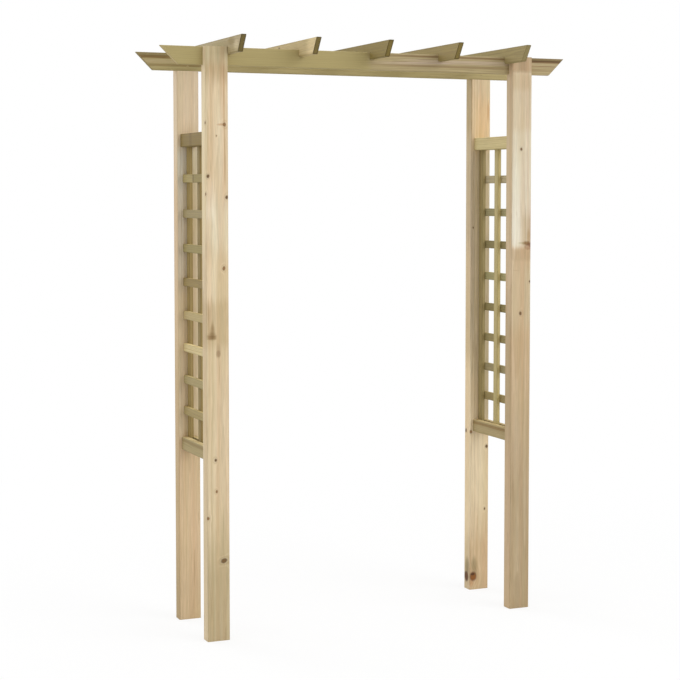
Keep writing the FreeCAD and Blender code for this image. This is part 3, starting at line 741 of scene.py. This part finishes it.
TRELLIS_MARKS = {
    "left_top_rail": (patch((LEFT_X - 0.027, 0.022, 1.67), (0.02, 0.014, 0.1), (128, 106, 61), 0.95, 0.5),),
    "left_bottom_rail": (rail_line(LEFT_X, (144, 122, 78)),),
    "right_bottom_rail": (rail_line(RIGHT_X, (136, 108, 60)),),
    # The first left cross slat: a dark streak, and its front part taken back down from its tone, which is
    # lifted as painted light.
    "left_cross_slat_1": (patch((LEFT_X, 0.018, 1.5), (WIDE, 0.008, WIDE), (136, 117, 72), 0.9, 0.5),
                          patch((LEFT_X, -0.07, 1.5), (WIDE, 0.085, WIDE), (152, 137, 88), 0.85, 0.1))}
for side, start in (("left", 0.0), ("right", 5.5)):
    for order, (name, middle_tone) in enumerate(RAIL_TONES[side].items()):
        node = f"{side}_{name}"
        timber_finish(node, "Y", middle_tone, (0.05, 0.03 - 0.02 * order), start + 0.9 * order, GREEN_END,
                      patches=(*TRELLIS_MARKS.get(node, ()), painted_light_side(middle_tone, PAINTED_TOP_LIGHT, UPWARD)))
    for order, (name, middle_tone) in enumerate(UPRIGHT_TONES[side].items()):
        # Painted light on the front sides of the middle uprights.
        painted_front_light = painted_light_side(middle_tone, PAINTED_FRONT_LIGHT, TO_FRONT)
        timber_finish(f"{side}_upright_{name}", "Z", middle_tone, (0.03 + 0.01 * order, 0.02),
                      start + 1.7 * order + 2.0, GREEN_END, rings=SLAT_RINGS,
                      patches=(painted_front_light,) if name == "middle" else ())
    for order, middle_tone in enumerate(CROSS_TONES[side]):
        node = f"{side}_cross_slat_{order + 1}"
        timber_finish(node, "Y", middle_tone, (0.02 + 0.004 * order, 0.035), start + 0.45 * order + 7.0,
                      GREEN_END, rings=SLAT_RINGS,
                      patches=(painted_light_side(middle_tone, PAINTED_TOP_LIGHT, UPWARD), *TRELLIS_MARKS.get(node, ())))


# Fasteners

TAN_COATING = metal_finish("tan_coating", tone(174, 156, 107), tone(160, 142, 95), 0.5, 0.0)
GALVANISED = metal_finish("galvanised", tone(178, 180, 178), tone(138, 140, 138), 0.35, 1.0)
finish_node("beam_screws", TAN_COATING)
for node in ("rafter_nails", "rail_nails", "left_slat_brads", "right_slat_brads"):
    finish_node(node, GALVANISED)


# Floor, light and camera

FLOOR_REACH = 30.0
FLOOR_LIT = (0.75, 0.75, 0.75, 1.0)   # the floor's grey in the light it gives, and as it is seen
FLOOR_SEEN = (0.93, 0.93, 0.93, 1.0)
WHITE = (1.0, 1.0, 1.0, 1.0)
STUDIO_LIGHT = 0.64
LAMPS = {"key": ((7.0, -9.0, 6.0), 10.0, 540.0),
         "top": ((0.0, -0.8, 6.5), 6.0, 120.0),
         "side": ((-9.0, -1.0, 4.5), 5.0, 70.0),
         "fill": ((-3.0, 6.0, 4.0), 4.0, 110.0)}
CAMERA_PLACE = (-2.3089, -5.3547, 1.4934)
CAMERA_YAW = 0.3983
CAMERA_PITCH = -0.0583


def seen_directly(g):
    """One where a surface itself is seen, also in a reflection or through glass; nought for its light."""
    path = g.node("ShaderNodeLightPath").outputs
    seen = g.math("MAXIMUM", path["Is Camera Ray"], path["Is Glossy Ray"])
    return g.math("MAXIMUM", seen, path["Is Transmission Ray"])


def make_floor():
    """A wide pale floor, a flat square.

    It is white to the eye with the object's shadow left in it, and duller in the light it gives."""
    material, g, _ = new_finish("pale_floor")
    material.node_tree.nodes.clear()
    seen = seen_directly(g)
    matt = g.node("ShaderNodeBsdfDiffuse", {"Color": g.mix(seen, FLOOR_LIT, FLOOR_SEEN)}).outputs[0]
    glow = g.node("ShaderNodeEmission", {"Color": WHITE, "Strength": 1.0}).outputs[0]
    away = g.vector("LENGTH", g.node("ShaderNodeTexCoord").outputs["Object"])
    whiteness = g.times(seen, g.fade(away, 0.6, 3.2, 0.8, 1.0))
    both = g.node("ShaderNodeMixShader", {0: whiteness, 1: matt, 2: glow}).outputs[0]
    g.node("ShaderNodeOutputMaterial", {"Surface": both})
    mesh = bpy.data.meshes.new("floor")
    corners = ((-1, -1), (1, -1), (1, 1), (-1, 1))
    mesh.from_pydata([(x * FLOOR_REACH, y * FLOOR_REACH, 0.0) for x, y in corners], [], [(0, 1, 2, 3)])
    mesh.materials.append(material)
    floor = bpy.data.objects.new("floor", mesh)
    bpy.context.scene.collection.objects.link(floor)


def make_world():
    """Even studio light from all round, white where it is seen directly."""
    world = bpy.data.worlds.new("studio")
    world.use_nodes = True
    g = Graph(world.node_tree)
    world.node_tree.nodes.clear()
    strength = g.math("ADD", g.times(seen_directly(g), 1.0 - STUDIO_LIGHT), STUDIO_LIGHT)
    glow = g.node("ShaderNodeBackground", {"Color": WHITE, "Strength": strength}).outputs[0]
    g.node("ShaderNodeOutputWorld", {"Surface": glow})
    bpy.context.scene.world = world


def softbox(name, place, width, power):
    """A large square lamp that faces the middle of the arch."""
    data = bpy.data.lights.new(name, "AREA")
    data.size = width
    data.energy = power
    lamp = bpy.data.objects.new(name, data)
    lamp.location = place
    lamp.rotation_euler = (Vector(ARCH_MIDDLE) - Vector(place)).to_track_quat("-Z", "Y").to_euler()
    bpy.context.scene.collection.objects.link(lamp)


def make_camera():
    """The photograph's view: a long lens at eye height, off to the left, with a small shift down."""
    data = bpy.data.cameras.new("camera")
    data.sensor_width = 36.0
    data.lens = 87.73
    data.shift_y = -0.075
    data.clip_end = 100.0
    camera = bpy.data.objects.new("camera", data)
    camera.location = CAMERA_PLACE
    level = math.cos(CAMERA_PITCH)
    ahead = Vector((math.sin(CAMERA_YAW) * level, math.cos(CAMERA_YAW) * level, math.sin(CAMERA_PITCH)))
    camera.rotation_euler = ahead.to_track_quat("-Z", "Y").to_euler()
    bpy.context.scene.collection.objects.link(camera)
    bpy.context.scene.camera = camera


make_floor()
make_world()
for name, (place, width, power) in LAMPS.items():
    softbox(name, place, width, power)
make_camera()
bpy.context.scene.view_settings.view_transform = "Standard"
